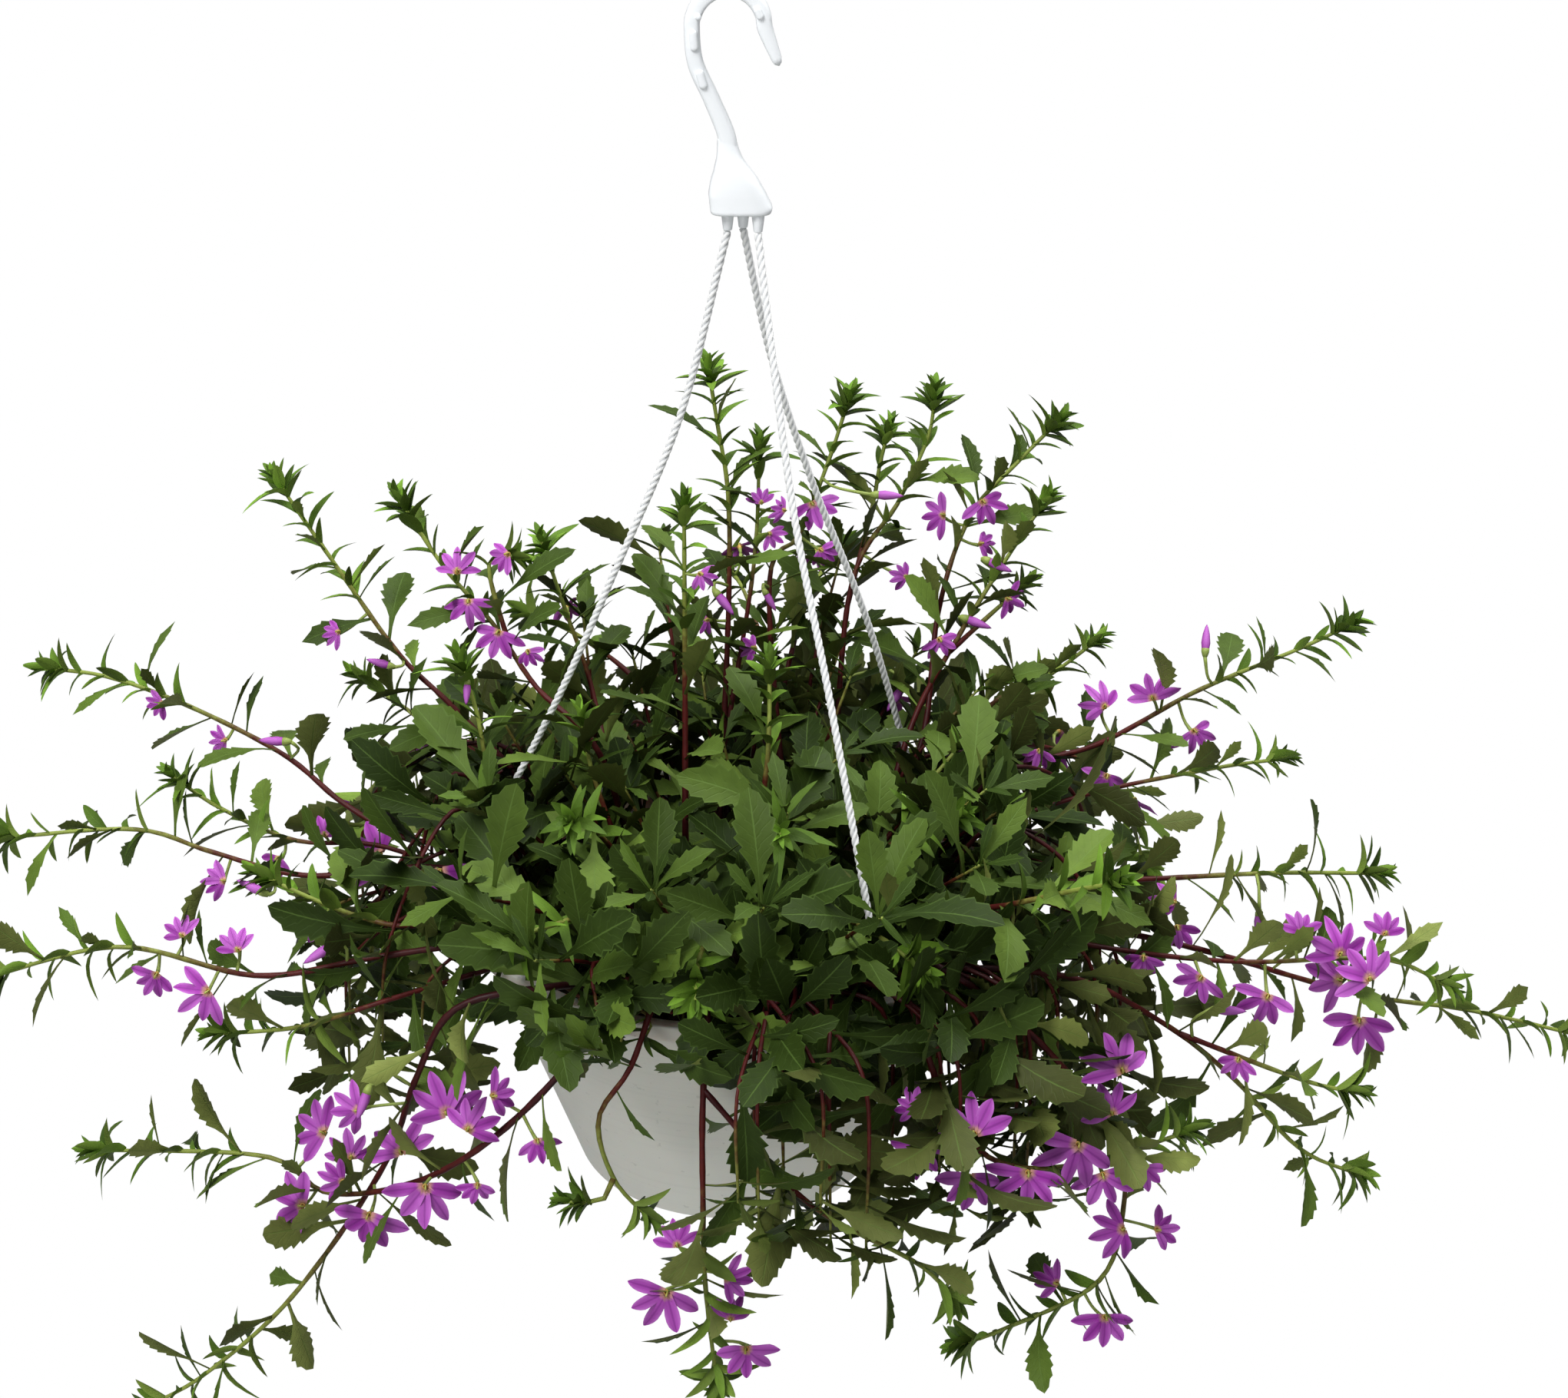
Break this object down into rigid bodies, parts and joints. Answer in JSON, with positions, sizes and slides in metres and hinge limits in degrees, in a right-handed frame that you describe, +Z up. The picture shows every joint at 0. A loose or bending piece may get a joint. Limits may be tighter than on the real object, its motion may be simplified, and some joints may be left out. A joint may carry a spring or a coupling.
{
  "type": "fan-flower hanging basket",
  "caption": "Trailing fan-flower plant in a round white plastic hanging pot, held by twisted cords that meet at a moulded hook.",
  "frame": {"origin": "the underside of the hook's arch, where it bears on whatever the basket hangs from", "axes": "+Z up, +X to the right and -Y towards the viewer, as the basket is seen in the picture"},
  "size_m": [0.788, 0.4671, 0.6545],
  "materials": {
    "pot": "moulded white plastic, slightly translucent, faint turning lines",
    "soil": "dark damp potting mix",
    "hook": "glossy white moulded plastic",
    "clip": "white moulded plastic",
    "cord": "twisted white synthetic rope",
    "foliage": "dark green leaves with a pale rib, on maroon stalks that turn green towards the tips",
    "petal": "purple petals with a darker middle line and a cream throat"
  },
  "bodies": {
    "root": {"bloom_01": "petal", "bloom_02": "petal", "bloom_03": "petal", "bloom_04": "petal", "bloom_05": "petal", "bloom_06": "petal", "bloom_07": "petal", "bloom_08": "petal", "bloom_09": "petal", "bloom_10": "petal", "bloom_11": "petal", "bloom_12": "petal", "bloom_13": "petal", "bloom_14": "petal", "cord_back": "cord", "cord_front": "cord", "cord_left": "cord", "hook": "hook", "pot": "pot", "rim_clip_back": "clip", "rim_clip_front": "clip", "rim_clip_left": "clip", "soil": "soil", "stem_back_right": "foliage", "stem_centre_up": "foliage", "stem_crown_front": "foliage", "stem_crown_inner": "foliage", "stem_crown_left": "foliage", "stem_crown_mid": "foliage", "stem_crown_right": "foliage", "stem_crown_side": "foliage", "stem_front": "foliage", "stem_front_left": "foliage", "stem_left_far": "foliage", "stem_left_flat": "foliage", "stem_left_in": "foliage", "stem_left_low": "foliage", "stem_left_mid": "foliage", "stem_left_red": "foliage", "stem_left_top": "foliage", "stem_left_tuft": "foliage", "stem_left_up": "foliage", "stem_rear_arch": "foliage", "stem_rear_left": "foliage", "stem_rear_mid": "foliage", "stem_rear_port": "foliage", "stem_rear_right": "foliage", "stem_rear_side": "foliage", "stem_rear_up": "foliage", "stem_right_bloom": "foliage", "stem_right_bush": "foliage", "stem_right_face": "foliage", "stem_right_far": "foliage", "stem_right_flat": "foliage", "stem_right_hang": "foliage", "stem_right_low": "foliage", "stem_right_top": "foliage", "stem_right_up": "foliage", "stem_top_left": "foliage", "stem_top_right": "foliage"}
  },
  "joints": []
}
